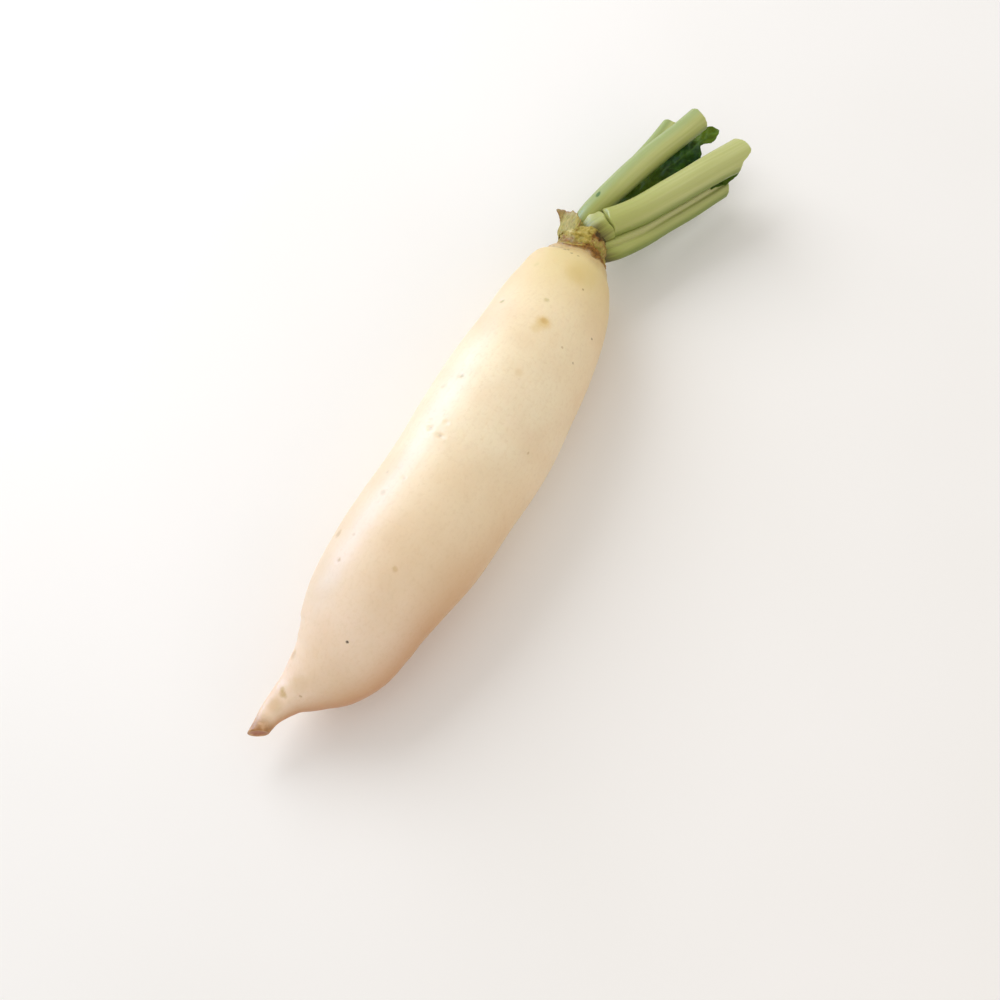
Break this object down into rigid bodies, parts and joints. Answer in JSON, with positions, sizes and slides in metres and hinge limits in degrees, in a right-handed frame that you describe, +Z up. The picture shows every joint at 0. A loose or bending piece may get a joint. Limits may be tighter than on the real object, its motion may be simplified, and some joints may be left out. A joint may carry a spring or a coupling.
{
  "type": "daikon radish",
  "caption": "Long white daikon radish lying on its side, with a cut tail, a ringed crown neck, cut leaf stalks and a young leaf.",
  "frame": {"origin": "on the surface that the radish lies on, at the middle of its bounding box seen from above", "axes": "+X from the cut tail towards the leaf stalks, along the root's longest extent; +Z up"},
  "size_m": [0.395, 0.07, 0.0678],
  "materials": {
    "root_skin": "smooth waxy ivory skin",
    "stalk_skin": "ribbed pale green skin",
    "leaf_blade": "crinkled dark green leaf",
    "dry_husk": "dry papery leaf base"
  },
  "bodies": {
    "root": {"taproot": "root_skin", "leaf_base_middle": "stalk_skin", "leaf_stalk_middle": "stalk_skin", "leaf_stalk_upper": "stalk_skin", "leaf_stalk_lower": "stalk_skin", "leaf_stalk_back": "stalk_skin", "young_leaf": "leaf_blade", "leaf_scrap": "leaf_blade", "crown_husk": "dry_husk", "crown_scale": "dry_husk"}
  },
  "joints": []
}
